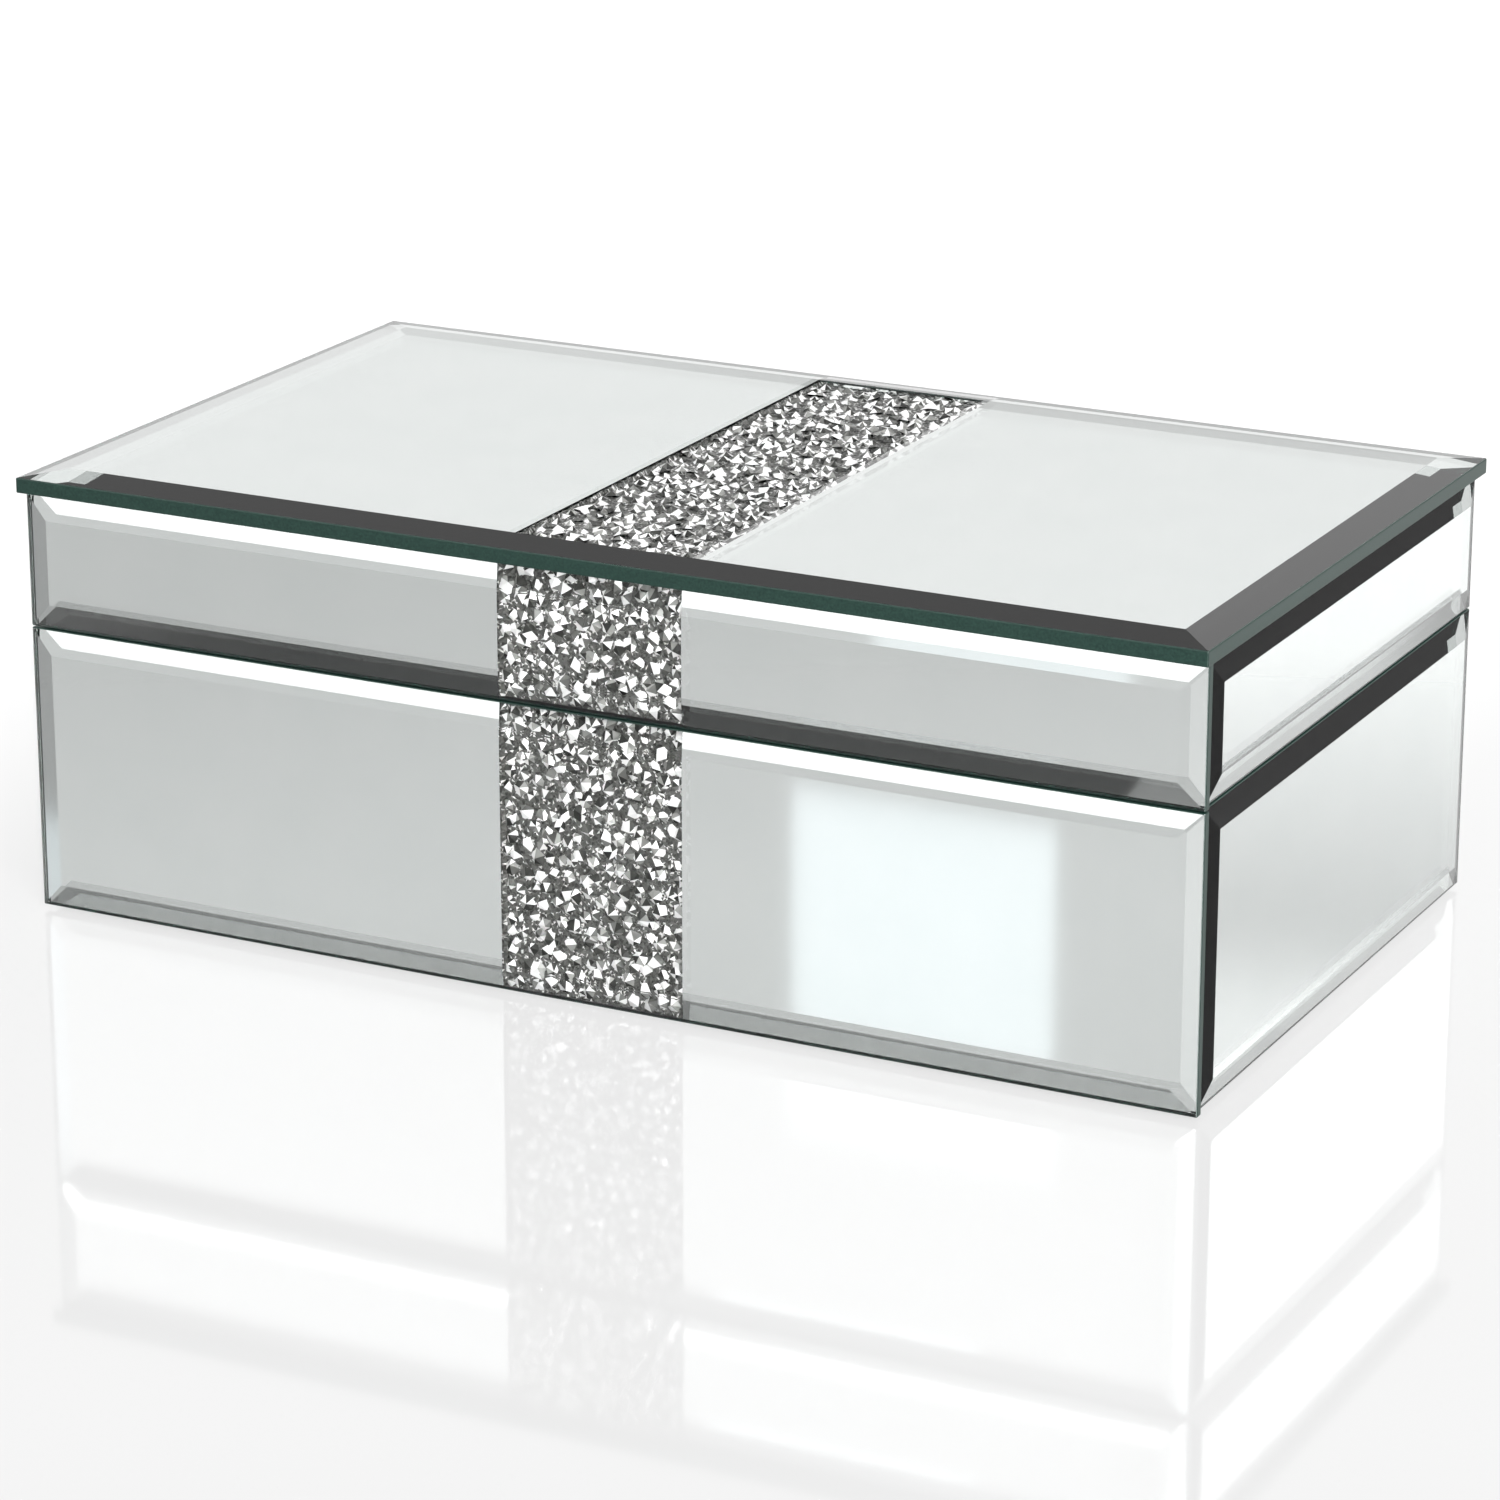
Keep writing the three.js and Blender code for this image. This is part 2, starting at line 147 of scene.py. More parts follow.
def grey(value):
    return (value, value, value)


def shifted(tree, value, low, high):
    """Brings a number from low..high to 0..1."""
    node = add_node(tree, "ShaderNodeMapRange", From_Min=low, From_Max=high)
    tree.links.new(value, node.inputs["Value"])
    return node.outputs["Result"]


def add_bump(tree, shader, height, strength, distance):
    node = add_node(tree, "ShaderNodeBump", Strength=strength, Distance=distance)
    tree.links.new(height, node.inputs["Height"])
    tree.links.new(node.outputs["Normal"], shader.inputs["Normal"])


def vary_roughness(tree, shader, scale, low, high):
    node = add_node(tree, "ShaderNodeMapRange", To_Min=low, To_Max=high)
    tree.links.new(noise_of(tree, scale), node.inputs["Value"])
    tree.links.new(node.outputs["Result"], shader.inputs["Roughness"])


# ---- Materials ------------------------------------------------------------------------------------
def glass_material():
    material, tree, shader = new_material("clear_glass")
    set_inputs(shader, Base_Color=(0.985, 0.992, 0.989, 1), Roughness=0.0, IOR=1.52)
    shader.inputs["Transmission Weight"].default_value = 1
    return material


def strip_material():
    """The clear strip over the crystals, bloomed like a lens: it bends light, but has no gloss."""
    material, tree, shader = new_material("bloomed_glass")
    tree.nodes.remove(shader)
    bend = add_node(tree, "ShaderNodeBsdfRefraction", Color=(1, 1, 1, 1), Roughness=0.0, IOR=1.52)
    tree.links.new(bend.outputs["BSDF"], tree.nodes["Material Output"].inputs["Surface"])
    return material


def silver_material():
    """The silvering on the back of the glass, with the faint mottling that old silver shows."""
    material, tree, shader = new_material("silvering")
    tint = ramp(tree, noise_of(tree, 60), [(0.3, (0.84, 0.87, 0.86)), (0.7, (0.865, 0.89, 0.88))])
    tree.links.new(tint, shader.inputs["Base Color"])
    set_inputs(shader, Metallic=1.0, Roughness=0.02)
    return material


def ground_edge_material():
    """The ground edge of float glass: dark green-black, with a satin gloss and fine grinding marks."""
    material, tree, shader = new_material("ground_glass_edge")
    grain = noise_of(tree, 2500, 4)
    tint = ramp(tree, grain, [(0.3, (0.003, 0.010, 0.008)), (0.75, (0.010, 0.024, 0.019))])
    tree.links.new(tint, shader.inputs["Base Color"])
    set_inputs(shader, IOR=1.35, Roughness=0.32)
    add_bump(tree, shader, grain, strength=0.25, distance=0.05 * MM)
    return material


def painted_facet_material(name, stops, roughness, metallic):
    """Silvered crystal. Each facet's brightness is painted light and shade, standing in for light caught
    inside a stone.
    """
    material, tree, shader = new_material(name)
    facet = tree.nodes.new("ShaderNodeAttribute")
    facet.attribute_name = "facet"
    tree.links.new(ramp(tree, facet.outputs["Fac"], stops), shader.inputs["Base Color"])
    set_inputs(shader, Metallic=metallic)
    shader.inputs["Specular IOR Level"].default_value = 0.2
    vary_roughness(tree, shader, 900, *roughness)
    return material


def stone_material():
    dark = (0.04, 0.041, 0.038)
    middle = (0.34, 0.345, 0.33)
    # Painted light and shade: dark to middle is painted shade on the facets, and the stops from 0.8 up are
    # painted glints, near white.
    stops = [(0.0, dark), (0.25, dark), (0.7, middle), (0.8, (0.9, 0.91, 0.9)), (1.0, (1, 1, 1))]
    return painted_facet_material("crystal_stones", stops, (0.12, 0.3), 0.3)


def dust_material():
    dark = (0.03, 0.031, 0.029)
    middle = (0.11, 0.112, 0.106)
    # Painted glints: the palest dust facets are painted near white, and the rest are painted shade from
    # dark to middle.
    painted_glint_grey = (0.6, 0.6, 0.59)
    stops = [(0.0, dark), (0.55, middle), (0.88, middle), (0.92, painted_glint_grey), (1.0, (0.8, 0.8, 0.8))]
    return painted_facet_material("crystal_dust", stops, (0.2, 0.4), 0.3)


def lacquer_material():
    """Fibreboard sealed with black lacquer, through which the fibres still show."""
    material, tree, shader = new_material("black_lacquered_board")
    fibres = noise_of(tree, 700, 6, 0.7)
    tint = ramp(tree, fibres, [(0.25, (0.010, 0.010, 0.010)), (0.8, (0.030, 0.028, 0.026))])
    tree.links.new(tint, shader.inputs["Base Color"])
    vary_roughness(tree, shader, 220, low=0.42, high=0.62)
    add_bump(tree, shader, fibres, strength=0.35, distance=0.15 * MM)
    return material


def velvet_material():
    """Short black velvet: the pile is brushed this way and that, and its tips catch the light."""
    material, tree, shader = new_material("black_velvet")
    brushed = noise_of(tree, 45, 2)
    tint = ramp(tree, brushed, [(0.3, (0.010, 0.010, 0.013)), (0.7, (0.026, 0.026, 0.033))])
    tree.links.new(tint, shader.inputs["Base Color"])
    set_inputs(shader, Roughness=0.95)
    shader.inputs["Sheen Weight"].default_value = 0.55
    shader.inputs["Sheen Roughness"].default_value = 0.35
    shader.inputs["Sheen Tint"].default_value = (0.62, 0.64, 0.72, 1)
    add_bump(tree, shader, noise_of(tree, 3200, 3), strength=0.55, distance=0.2 * MM)
    return material


def felt_material():
    """Pressed black felt, with loose fibres."""
    material, tree, shader = new_material("black_felt")
    fibres = noise_of(tree, 1600, 6, 0.75)
    tint = ramp(tree, fibres, [(0.3, (0.008, 0.008, 0.009)), (0.8, (0.04, 0.04, 0.043))])
    tree.links.new(tint, shader.inputs["Base Color"])
    set_inputs(shader, Roughness=1.0)
    shader.inputs["Sheen Weight"].default_value = 0.3
    add_bump(tree, shader, fibres, strength=0.9, distance=0.3 * MM)
    return material


def nickel_material():
    """Satin nickel plate with light tumbling marks."""
    material, tree, shader = new_material("nickel_plate")
    tint = ramp(tree, noise_of(tree, 400), [(0.3, (0.32, 0.31, 0.29)), (0.7, (0.38, 0.37, 0.345))])
    tree.links.new(tint, shader.inputs["Base Color"])
    set_inputs(shader, Metallic=1.0)
    vary_roughness(tree, shader, 1800, low=0.28, high=0.36)
    return material


def silicone_material():
    """Clear silicone, cloudy inside."""
    material, tree, shader = new_material("clear_silicone")
    tint = ramp(tree, noise_of(tree, 500), [(0.3, (0.82, 0.85, 0.85)), (0.7, (0.93, 0.95, 0.95))])
    tree.links.new(tint, shader.inputs["Base Color"])
    set_inputs(shader, Roughness=0.3, IOR=1.41)
    shader.inputs["Transmission Weight"].default_value = 0.6
    return material


GLASS = glass_material()
BLOOMED = strip_material()
SILVER = silver_material()
GROUND_EDGE = ground_edge_material()
STONES = stone_material()
DUST = dust_material()
LACQUER = lacquer_material()
VELVET = velvet_material()
FELT = felt_material()
NICKEL = nickel_material()
SILICONE = silicone_material()


# ---- Mesh helpers ---------------------------------------------------------------------------------
def body_of_node(node):
    bodies = frame["record"]["behaviour"]["bodies"]
    return next(body for body, members in bodies.items() if node in members)


def finish_piece(mesh_source, name, node, materials):
    """A bmesh as a piece that stands for a CAD node and moves with its body."""
    mesh = bpy.data.meshes.new(name)
    mesh_source.to_mesh(mesh)
    mesh_source.free()
    piece = bpy.data.objects.new(name, mesh)
    scene.collection.objects.link(piece)
    for material in materials:
        mesh.materials.append(material)
    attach(piece, body_of_node(node))
    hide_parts(node)
    return piece


def clean_copy(node):
    """The CAD node's solid with its flat faces whole instead of cut into triangles."""
    solid = bmesh.new()
    solid.from_mesh(nodes[node].data)
    bmesh.ops.remove_doubles(solid, verts=solid.verts, dist=1e-6)
    bmesh.ops.dissolve_limit(solid, angle_limit=math.radians(0.5), verts=solid.verts, edges=solid.edges)
    return solid


# ---- Glass ----------------------------------------------------------------------------------------
def glass_panel(node, outward, clear_strip):
    """A bevelled plate: polished outside, ground at its edges and silvered behind, apart from the strip
    in front of the crystals."""
    solid = clean_copy(node)
    if clear_strip:
        for x in (-BAND / 2, BAND / 2):
            flats = [f for f in solid.faces if abs(f.normal.dot(outward)) > FLAT]
            edges = {e for f in flats for e in f.edges}
            verts = {v for f in flats for v in f.verts}
            parts = [*flats, *edges, *verts]
            bmesh.ops.bisect_plane(solid, geom=parts, plane_co=(x, 0, 0), plane_no=(1, 0, 0))
    for face in solid.faces:
        facing = face.normal.dot(outward)
        in_strip = clear_strip and abs(face.calc_center_median().x) < BAND / 2
        if abs(facing) > FLAT and in_strip:
            face.material_index = 3
        elif facing < -FLAT:
            face.material_index = 1
        else:
            face.material_index = 0 if facing > 0.5 else 2
    sharp = [e for e in solid.edges if e.calc_face_angle(0) > MITRE]
    bmesh.ops.bevel(solid, geom=sharp, offset=ARRIS, segments=2, profile=0.5, affect="EDGES", material=2)
    finishes = [GLASS, SILVER, GROUND_EDGE, BLOOMED]
    finish_piece(solid, node + "_bevelled", node, finishes)


def make_glass():
    for part in ("base", "lid"):
        for side in ("front", "back", "left", "right"):
            glass_panel(f"{part}_{side}_glass", OUTWARD[side], clear_strip=side == "front")
    glass_panel("lid_top_glass", OUTWARD["top"], clear_strip=True)


# ---- Crystals -------------------------------------------------------------------------------------
def add_dust(solid, length, width, valley, dice):
    """A closed slab whose face is a field of small random facets, banked up at both ends of its length."""
    columns = round(length / DUST_PITCH)
    rows = round(width / DUST_PITCH)
    step_x = length / columns
    step_y = width / rows

    def corner(i, j):
        inner = 0 < i < columns and 0 < j < rows
        x = i * step_x - length / 2 + (dice.uniform(-0.35, 0.35) * step_x if inner else 0)
        y = j * step_y - width / 2 + (dice.uniform(-0.35, 0.35) * step_y if inner else 0)
        rise = DUST_BANK if i in (0, 1, columns - 1, columns) else 0
        return solid.verts.new((x, y, valley + rise + dice.uniform(0, 0.25 * MM)))

    grid = [[corner(i, j) for j in range(rows + 1)] for i in range(columns + 1)]
    for i in range(columns):
        for j in range(rows):
            a, b, c, d = grid[i][j], grid[i + 1][j], grid[i + 1][j + 1], grid[i][j + 1]
            triangles = ((a, b, c), (a, c, d)) if dice.random() < 0.5 else ((a, b, d), (b, c, d))
            for triangle in triangles:
                solid.faces.new(triangle)
    rim = [grid[i][0] for i in range(columns)] + [grid[columns][j] for j in range(rows)]
    rim += [grid[i][rows] for i in range(columns, 0, -1)] + [grid[0][j] for j in range(rows, 0, -1)]
    foot = [solid.verts.new((v.co.x, v.co.y, 0)) for v in rim]
    for k, top in enumerate(rim):
        following = (k + 1) % len(rim)
        solid.faces.new((foot[k], foot[following], rim[following], top))
    solid.faces.new(foot[::-1])


def add_stone(solid, facet, place, size, top, dice):
    """A stone with its point up: a faceted cone over a shallow back, tipped to one side. Two or three of
    its facets are painted near white, as painted glints, and the rest are painted darker."""
    sides = dice.choice((5, 6, 7))
    lean = Vector((dice.uniform(-1, 1), dice.uniform(-1, 1), 0)).normalized()
    tilt = Matrix.Rotation(dice.uniform(0.05, 0.5), 3, lean)
    turn = dice.uniform(0, math.tau)
    point = tilt @ Vector((0, 0, size * dice.uniform(0.5, 0.7)))
    girdle = []
    for k in range(sides):
        angle = turn + k * math.tau / sides + dice.uniform(-0.12, 0.12)
        girdle.append(tilt @ Vector((size * math.cos(angle), size * math.sin(angle), 0)))
    back = tilt @ Vector((0, 0, -0.35 * size))
    highest = max(v.z for v in [point, *girdle])
    sink = Vector((place[0], place[1], top - highest))

    def corner(v):
        return solid.verts.new((v.x + sink.x, v.y + sink.y, max(v.z + sink.z, 0.05 * MM)))

    apex = corner(point)
    culet = corner(back)
    ring = [corner(v) for v in girdle]
    # These facets get painted glints: a near-white painted brightness in place of light they would catch.
    painted_glint_sides = set(dice.sample(range(sides), dice.choice((2, 3, 3))))
    for k in range(sides):
        following = ring[(k + 1) % sides]
        front = solid.faces.new((ring[k], following, apex))
        front[facet] = dice.uniform(0.85, 1) if k in painted_glint_sides else dice.uniform(0, 0.7)
        rear = solid.faces.new((following, ring[k], culet))
        rear[facet] = dice.uniform(0, 0.5)
        front.material_index = 1
        rear.material_index = 1


def scatter_stones(solid, facet, length, width, depth, dice):
    """Stones in staggered rows, each pushed off its place, over the whole bed."""
    columns = round(length / STONE_PITCH)
    rows = round(width / STONE_PITCH)
    for i in range(columns):
        for j in range(rows):
            size = dice.uniform(*STONE_RADII) * MM
            stagger = 0.25 if j % 2 else -0.25
            x = (i + 0.5 + stagger + dice.uniform(-0.3, 0.3)) * length / columns - length / 2
            y = (j + 0.5 + dice.uniform(-0.3, 0.3)) * width / rows - width / 2
            x = max(size - length / 2, min(length / 2 - size, x))
            y = max(size - width / 2, min(width / 2 - size, y))
            top = depth - dice.uniform(*STONE_DEPTHS) * MM
            add_stone(solid, facet, (x, y), size, top, dice)


def crystal_bed(node, outward, across):
    """The crystals behind one clear strip, in the space of their CAD bed. across runs along the band."""
    low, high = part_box(node)
    size = high - low
    length = size.x
    width = abs(size.dot(across))
    depth = abs(size.dot(outward))
    dice = random.Random(f"{SEED} {node}")
    solid = bmesh.new()
    facet = solid.faces.layers.float.new("facet")
    add_dust(solid, length, width, depth - DUST_DEPTH, dice)
    # Each dust facet gets a random painted brightness: the palest of them are painted glints.
    for face in solid.faces:
        face[facet] = dice.random()
    scatter_stones(solid, facet, length, width, depth, dice)
    turn = Matrix((Vector((1, 0, 0)), across, outward)).transposed()
    middle = (low + high) / 2 - outward * depth / 2
    for vertex in solid.verts:
        vertex.co = turn @ vertex.co + middle
    bmesh.ops.recalc_face_normals(solid, faces=solid.faces)
    name = node.replace("crystals", "crystal_field")
    finish_piece(solid, name, node, [DUST, STONES])


def make_crystals():
    crystal_bed("lid_top_crystals", OUTWARD["top"], Vector((0, 1, 0)))
    crystal_bed("lid_front_crystals", OUTWARD["front"], Vector((0, 0, 1)))
    crystal_bed("base_front_crystals", OUTWARD["front"], Vector((0, 0, 1)))


# ---- Soft goods ------------------------------------------------------------------------------------
def stations(low, high, radius, cell):
    """Places along one side of a slab: close together over its rounded ends, and even between them."""
    ends = [radius * (1 - math.tan(math.radians(angle))) for angle in (45, 30, 15, 0)]
    count = max(1, round((high - low - 2 * radius) / cell))
    middle = [low + radius + k * (high - low - 2 * radius) / count for k in range(1, count)]
    return [low + end for end in ends] + middle + [high - end for end in reversed(ends)]


def rounded_slab(low, high, radius, cell):
    """A closed slab of small quads, rounded at all its edges."""
    solid = bmesh.new()
    rows = [stations(low[axis], high[axis], radius, cell) for axis in range(3)]

    def corner(axis, end, along, across):
        point = Vector((0, 0, 0))
        point[axis] = end
        point[(axis + 1) % 3] = along
        point[(axis + 2) % 3] = across
        core = Vector([min(max(point[k], low[k] + radius), high[k] - radius) for k in range(3)])
        return solid.verts.new(core + (point - core).normalized() * radius)

    for axis in range(3):
        for end in (low[axis], high[axis]):
            along_rows = rows[(axis + 1) % 3]
            across_rows = rows[(axis + 2) % 3]
            grid = [[corner(axis, end, a, b) for b in across_rows] for a in along_rows]
            for one, other in zip(grid, grid[1:]):
                for j in range(len(one) - 1):
                    solid.faces.new((one[j], other[j], other[j + 1], one[j + 1]))
    bmesh.ops.remove_doubles(solid, verts=solid.verts, dist=0.001 * MM)
    bmesh.ops.recalc_face_normals(solid, faces=solid.faces)
    return solid


def turned(profile, segments):
    """A closed surface of revolution about Z. The profile is (radius, height) from axis to axis."""
    solid = bmesh.new()
    poles = [solid.verts.new((0, 0, profile[0][1])), solid.verts.new((0, 0, profile[-1][1]))]
    angles = [k * math.tau / segments for k in range(segments)]
    rings = []
    for radius, height in profile[1:-1]:
        places = [(radius * math.cos(a), radius * math.sin(a), height) for a in angles]
        rings.append([solid.verts.new(place) for place in places])
    for k in range(segments):
        following = (k + 1) % segments
        solid.faces.new((poles[0], rings[0][following], rings[0][k]))
        solid.faces.new((poles[1], rings[-1][k], rings[-1][following]))
        for lower, upper in zip(rings, rings[1:]):
            solid.faces.new((lower[k], lower[following], upper[following], upper[k]))
    return solid


def smooth(solid):
    for face in solid.faces:
        face.smooth = True
    return solid


def swell(piece, is_pinned, pressure, most):
    """Blows a closed piece up as cloth. Pinned points stay, and no other moves further than most."""
    mesh = piece.data
    rest = [vertex.co.copy() for vertex in mesh.vertices]
    for vertex in mesh.vertices:
        vertex.co = vertex.co * CLOTH_SCALE
    group = piece.vertex_groups.new(name="glued")
    group.add([k for k, place in enumerate(rest) if is_pinned(place)], 1, "REPLACE")
    cloth = piece.modifiers.new("cloth", "CLOTH")
    cloth.settings.vertex_group_mass = "glued"
    cloth.settings.use_pressure = True
    cloth.settings.uniform_pressure_force = pressure
    cloth.settings.effector_weights.gravity = 0
    cloth.point_cache.frame_end = CLOTH_FRAMES
    for number in range(1, CLOTH_FRAMES + 1):
        scene.frame_set(number)
    evaluated = piece.evaluated_get(bpy.context.evaluated_depsgraph_get())
    swollen = [vertex.co / CLOTH_SCALE for vertex in evaluated.data.vertices]
    piece.modifiers.remove(cloth)
    piece.vertex_groups.remove(group)
    scene.frame_set(1)
    for vertex, place, moved in zip(mesh.vertices, rest, swollen):
        step = moved - place
        if step.length > most:
            step = step.normalized() * most
        vertex.co = place + step


def subdivide(piece):
    """One level of subdivision over a finished soft piece."""
    fine = piece.modifiers.new("fine_surface", "SUBSURF")
    fine.levels = 1
    fine.render_levels = 1


def ruffle(solid, height, scale):
    """Moves each point of a soft surface a little along its normal, so that none of it is dead flat."""
    solid.normal_update()
    for vertex in solid.verts:
        vertex.co += vertex.normal * height * noise.noise(vertex.co * scale)
    return solid


def velvet_card(node, radius):
    """Card wrapped in velvet: a lining or a divider."""
    low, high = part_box(node)
    shy = Vector((PILE, PILE, PILE))
    solid = rounded_slab(low + shy, high - shy, radius, cell=3 * MM)
    finish_piece(ruffle(smooth(solid), PILE, 60), node + "_velvet", node, [VELVET])


def make_linings():
    for node in nodes:
        if node.endswith("_lining"):
            velvet_card(node, radius=0.42 * MM)


def make_dividers():
    for node in ("cross_divider", "long_divider"):
        velvet_card(node, radius=1.5 * MM)


def floor_pad():
    """The padded floor. It is flat under the dividers and the ring rolls, and crowned between them."""
    low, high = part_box("base_floor_pad")
    cross_low, cross_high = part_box("cross_divider")
    long_low, long_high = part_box("long_divider")
    solid = smooth(rounded_slab(low, high, radius=1.2 * MM, cell=2.6 * MM))
    pad = finish_piece(solid, "base_floor_cushion", "base_floor_pad", [VELVET])

    def is_pinned(place):
        under_cross = place.x < cross_high.x + 1.5 * MM
        under_long = long_low.y - 1.5 * MM < place.y < long_high.y + 1.5 * MM
        at_rim = place.x > high.x - 2 * MM or abs(place.y) > high.y - 2 * MM
        return under_cross or under_long or at_rim or place.z < high.z - 0.5 * MM

    swell(pad, is_pinned, pressure=3, most=1.5 * MM)
    subdivide(pad)


def lid_pad():
    """The padded velvet under the lid, held at its rim by the linings."""
    low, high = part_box("lid_pad")
    solid = smooth(rounded_slab(low, high, radius=1.2 * MM, cell=2.6 * MM))
    pad = finish_piece(solid, "lid_cushion", "lid_pad", [VELVET])

    def is_pinned(place):
        at_rim = abs(place.x) > high.x - 3 * MM or abs(place.y) > high.y - 3 * MM
        return at_rim or place.z > low.z + 0.5 * MM

    swell(pad, is_pinned, pressure=3, most=1.8 * MM)
    subdivide(pad)


def ring_roll(node):
    """A foam roll in velvet: gathered over its ends, glued along its foot and full between."""
    low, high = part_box(node)
    middle = (low + high) / 2
    radius = (high.z - low.z) / 2 - 0.5 * MM
    reach = (high.x - low.x) / 2 - 0.3 * MM
    corner = 3.2 * MM
    end = [(radius * share, -reach) for share in (0, 0.12, 0.3, 0.5)]
    curl = [math.radians(15 * k) for k in range(7)]
    core = radius - corner
    end += [(core + corner * math.sin(a), -reach + corner - corner * math.cos(a)) for a in curl]
    rings = round(2 * (reach - corner) / (2.2 * MM))
    barrel = [(radius, -reach + corner + k * 2 * (reach - corner) / rings) for k in range(1, rings)]
    profile = end + barrel + [(r, -height) for r, height in reversed(end)]
    solid = turned(profile, segments=36)
    for vertex in solid.verts:
        height, across, along = vertex.co
        vertex.co = middle + Vector((along, across, height))
    bmesh.ops.recalc_face_normals(solid, faces=solid.faces)
    roll = finish_piece(ruffle(smooth(solid), 0.35 * MM, 90), node + "_velvet", node, [VELVET])

    def is_pinned(place):
        return place.z < low.z + 1.6 * MM or abs(place.x - middle.x) > reach - 0.2 * MM

    swell(roll, is_pinned, pressure=4, most=0.6 * MM)
    subdivide(roll)


def make_ring_rolls():
    for node in nodes:
        if node.startswith("ring_roll_"):
            ring_roll(node)


def make_felt():
    low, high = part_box("base_felt")
    slab = rounded_slab(low, high, radius=0.35 * MM, cell=2.5 * MM)
    solid = ruffle(smooth(slab), height=0.08 * MM, scale=400)
    for vertex in solid.verts:
        vertex.co.z = max(vertex.co.z, low.z)
    finish_piece(solid, "base_felt_sheet", "base_felt", [FELT])


def make_bumpers():
    """Clear domes, rounded over like drops."""
    for node in ("left_rim_bumper", "right_rim_bumper"):
        low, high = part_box(node)
        radius = (high.x - low.x) / 2
        height = high.z - low.z
        steps = [math.radians(10 * k) for k in range(9)]
        dome = [(radius * math.cos(a) ** 0.6, height * (0.25 + 0.75 * math.sin(a))) for a in steps]
        solid = turned([(0, 0), (radius * 0.98, 0), (radius, 0.04 * MM), *dome, (0, height)], 40)
        foot = Vector(((low.x + high.x) / 2, (low.y + high.y) / 2, low.z))
        for vertex in solid.verts:
            vertex.co += foot
        finish_piece(smooth(solid), node + "_dome", node, [SILICONE])


def make_soft_goods():
    make_linings()
    make_dividers()
    floor_pad()
    lid_pad()
    make_ring_rolls()
    make_felt()
    make_bumpers()


# ---- Carried-over CAD nodes ------------------------------------------------------------------------
def refinish(node, material, chamfer):
    """A CAD node keeps its shape, with softened edges and a finish of its own."""
    obj = nodes[node]
    obj.data.materials.clear()
    obj.data.materials.append(material)
    softened = obj.modifiers.new("softened_edges", "BEVEL")
    softened.width = chamfer
    softened.segments = 2
    softened.limit_method = "ANGLE"
    softened.angle_limit = math.radians(40)


def refinish_cad():
    for node in nodes:
        if node.endswith(("_wall", "_rail", "board")):
            refinish(node, LACQUER, chamfer=0.4 * MM)
        elif "_hinge_" in node:
            refinish(node, NICKEL, chamfer=0.06 * MM)


# ---- Floor, lights and camera ----------------------------------------------------------------------
def flat_sheet(name, corners, height, material):
    """A level sheet on the stage, with four (x, y) corners that run anticlockwise."""
    mesh = bpy.data.meshes.new(name)
    mesh.from_pydata([(x, y, height) for x, y in corners], [], [(0, 1, 2, 3)])
    mesh.materials.append(material)
    obj = bpy.data.objects.new(name, mesh)
    scene.collection.objects.link(obj)
    return obj


def make_floor():
    """A glossy table, painted grey, and paler behind the box on its left. It glows for camera rays
    alone, and more behind the box than in front, so it shows as overexposed. The mirrors and the light
    see it as it is."""
    material, tree, shader = new_material("glossy_table")
    set_inputs(shader, Roughness=0.05, IOR=2.4)
    split = tree.nodes.new("ShaderNodeSeparateXYZ")
    tree.links.new(object_coordinates(tree), split.inputs["Vector"])
    far_corner = tree.nodes.new("ShaderNodeMath")
    far_corner.operation = "MULTIPLY"
    tree.links.new(shifted(tree, split.outputs["X"], 0.1, 0), far_corner.inputs[0])
    tree.links.new(shifted(tree, split.outputs["Y"], -0.05, 0.05), far_corner.inputs[1])
    paint = ramp(tree, far_corner.outputs["Value"], [(0, grey(FLOOR_GREY[0])), (1, grey(FLOOR_GREY[1]))])
    tree.links.new(paint, shader.inputs["Base Color"])
    strength = add_node(tree, "ShaderNodeMapRange", To_Min=FLOOR_GLOW[0], To_Max=FLOOR_GLOW[1])
    set_inputs(strength, From_Min=FLOOR_GLOW_PLACES[0], From_Max=FLOOR_GLOW_PLACES[1])
    tree.links.new(split.outputs["Y"], strength.inputs["Value"])
    glow = tree.nodes.new("ShaderNodeEmission")
    tree.links.new(strength.outputs["Result"], glow.inputs["Strength"])
    share = tree.nodes.new("ShaderNodeMath")
    share.operation = "MULTIPLY"
    tree.links.new(tree.nodes.new("ShaderNodeLightPath").outputs["Is Camera Ray"], share.inputs[0])
    share.inputs[1].default_value = FLOOR_GLOW_SHARE
    mix = tree.nodes.new("ShaderNodeMixShader")
    tree.links.new(share.outputs["Value"], mix.inputs["Fac"])
    tree.links.new(shader.outputs["BSDF"], mix.inputs[1])
    tree.links.new(glow.outputs["Emission"], mix.inputs[2])
    tree.links.new(mix.outputs["Shader"], tree.nodes["Material Output"].inputs["Surface"])
    flat_sheet("floor", [(-6, -6), (6, -6), (6, 6), (-6, 6)], 0, material)


